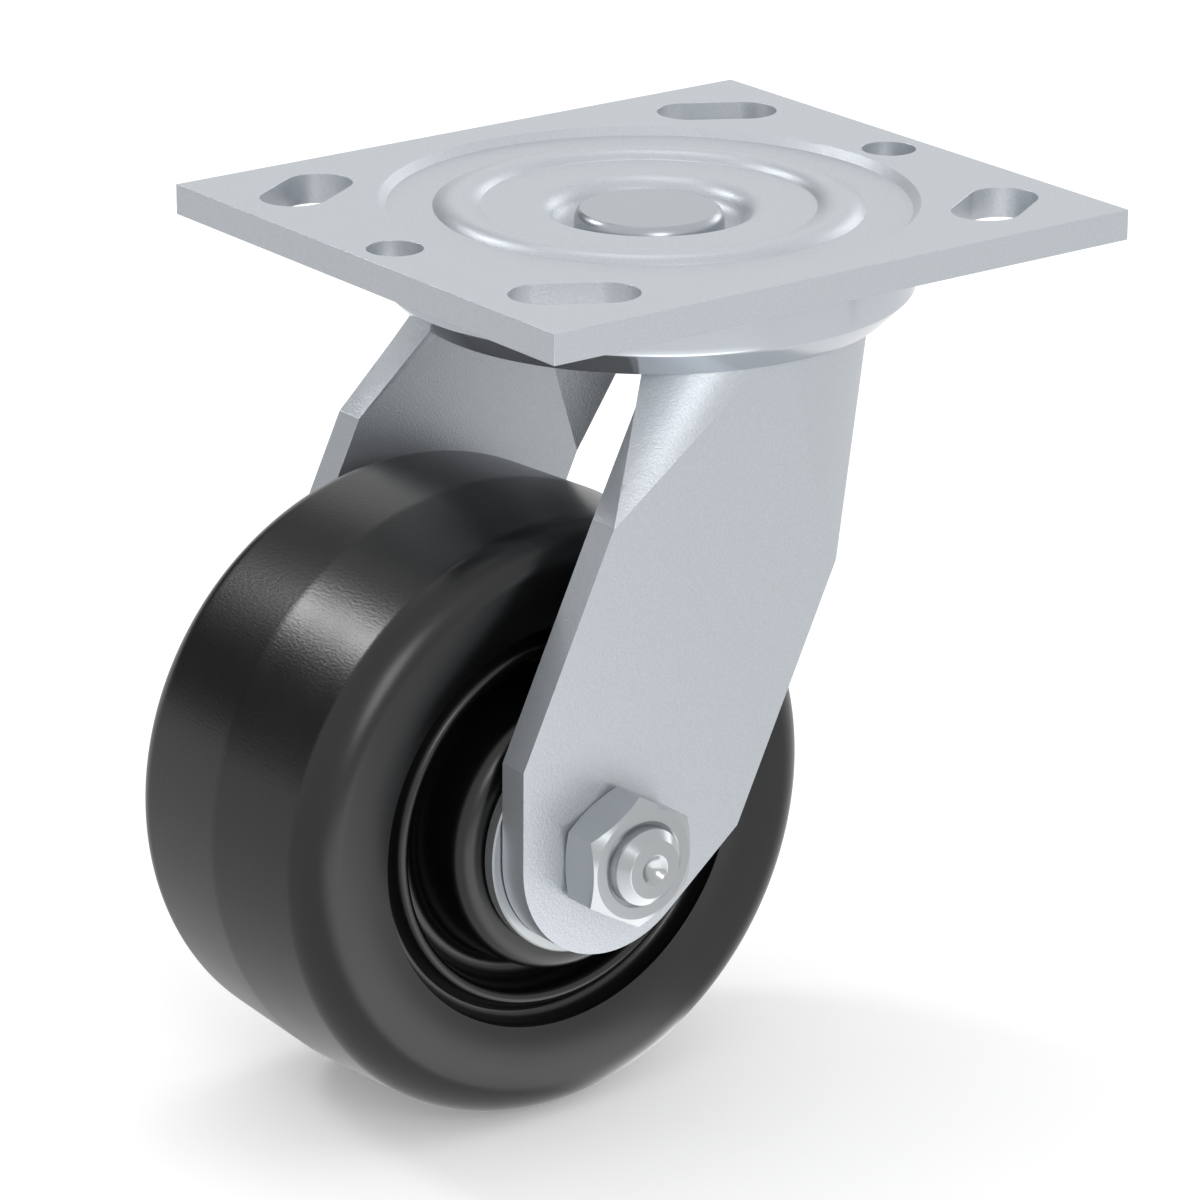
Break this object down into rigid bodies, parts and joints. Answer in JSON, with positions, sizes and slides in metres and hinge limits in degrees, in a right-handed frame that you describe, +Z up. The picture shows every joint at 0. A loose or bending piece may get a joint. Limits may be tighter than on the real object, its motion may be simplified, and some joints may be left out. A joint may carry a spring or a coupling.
{
  "type": "swivel castor",
  "caption": "Swivel castor with a slotted top plate, a ball race, a welded steel fork and a black moulded wheel on rollers.",
  "frame": {"origin": "centre of the plate's top face, on the swivel axis", "axes": "+Z up, out of the plate's top face; +X along the plate's long side, away from the wheel, which trails towards -X; the axle lies along Y with its nut at the -Y end"},
  "size_m": [0.1428, 0.1016, 0.1429],
  "materials": {
    "zinc_sheet": "satin zinc plate",
    "turned_steel": "smooth zinc plate",
    "bright_zinc": "bright zinc plate",
    "bearing_steel": "polished",
    "cage_steel": "satin",
    "black_moulding": "semi-gloss"
  },
  "bodies": {
    "plate": {"top_plate": "zinc_sheet", "kingpin": "turned_steel", "lower_race": "bearing_steel"},
    "balls": {"upper_ball_01": "bearing_steel", "upper_ball_02": "bearing_steel", "upper_ball_03": "bearing_steel", "upper_ball_04": "bearing_steel", "upper_ball_05": "bearing_steel", "upper_ball_06": "bearing_steel", "upper_ball_07": "bearing_steel", "upper_ball_08": "bearing_steel", "upper_ball_09": "bearing_steel", "upper_ball_10": "bearing_steel", "upper_ball_11": "bearing_steel", "upper_ball_12": "bearing_steel", "upper_ball_13": "bearing_steel", "upper_ball_14": "bearing_steel", "upper_ball_15": "bearing_steel", "upper_ball_16": "bearing_steel", "upper_ball_17": "bearing_steel", "upper_ball_18": "bearing_steel", "upper_ball_19": "bearing_steel", "upper_ball_20": "bearing_steel", "lower_balls": "bearing_steel"},
    "fork": {"fork_base": "turned_steel", "nut_side_leg": "zinc_sheet", "head_side_leg": "zinc_sheet", "axle_bolt": "bright_zinc", "axle_nut": "bright_zinc", "spanner_bushing": "bright_zinc", "nut_side_thrust_washer": "bright_zinc", "head_side_thrust_washer": "bright_zinc"},
    "wheel": {"wheel": "black_moulding"},
    "rollers": {"roller_01": "bearing_steel", "roller_02": "bearing_steel", "roller_03": "bearing_steel", "roller_04": "bearing_steel", "roller_05": "bearing_steel", "roller_06": "bearing_steel", "roller_07": "bearing_steel", "roller_08": "bearing_steel", "roller_09": "bearing_steel", "roller_10": "bearing_steel", "roller_cage": "cage_steel"}
  },
  "joints": [
    {"name": "swivel", "type": "hinge", "parent": "plate", "child": "fork", "pos_m": [0, 0, 0], "axis": [0, 0, 1], "continuous": true},
    {"name": "ball_orbit", "type": "hinge", "parent": "plate", "child": "balls", "pos_m": [0, 0, 0], "axis": [0, 0, 1], "continuous": true},
    {"name": "wheel_spin", "type": "hinge", "parent": "fork", "child": "wheel", "pos_m": [-0.03492, 0, -0.09208], "axis": [0, 1, 0], "continuous": true},
    {"name": "roller_orbit", "type": "hinge", "parent": "fork", "child": "rollers", "pos_m": [-0.03492, 0, -0.09208], "axis": [0, 1, 0], "continuous": true}
  ],
  "couplings": [
    {"joint": "ball_orbit", "follows": "swivel", "ratio": 0.5},
    {"joint": "roller_orbit", "follows": "wheel_spin", "ratio": 0.6049}
  ]
}
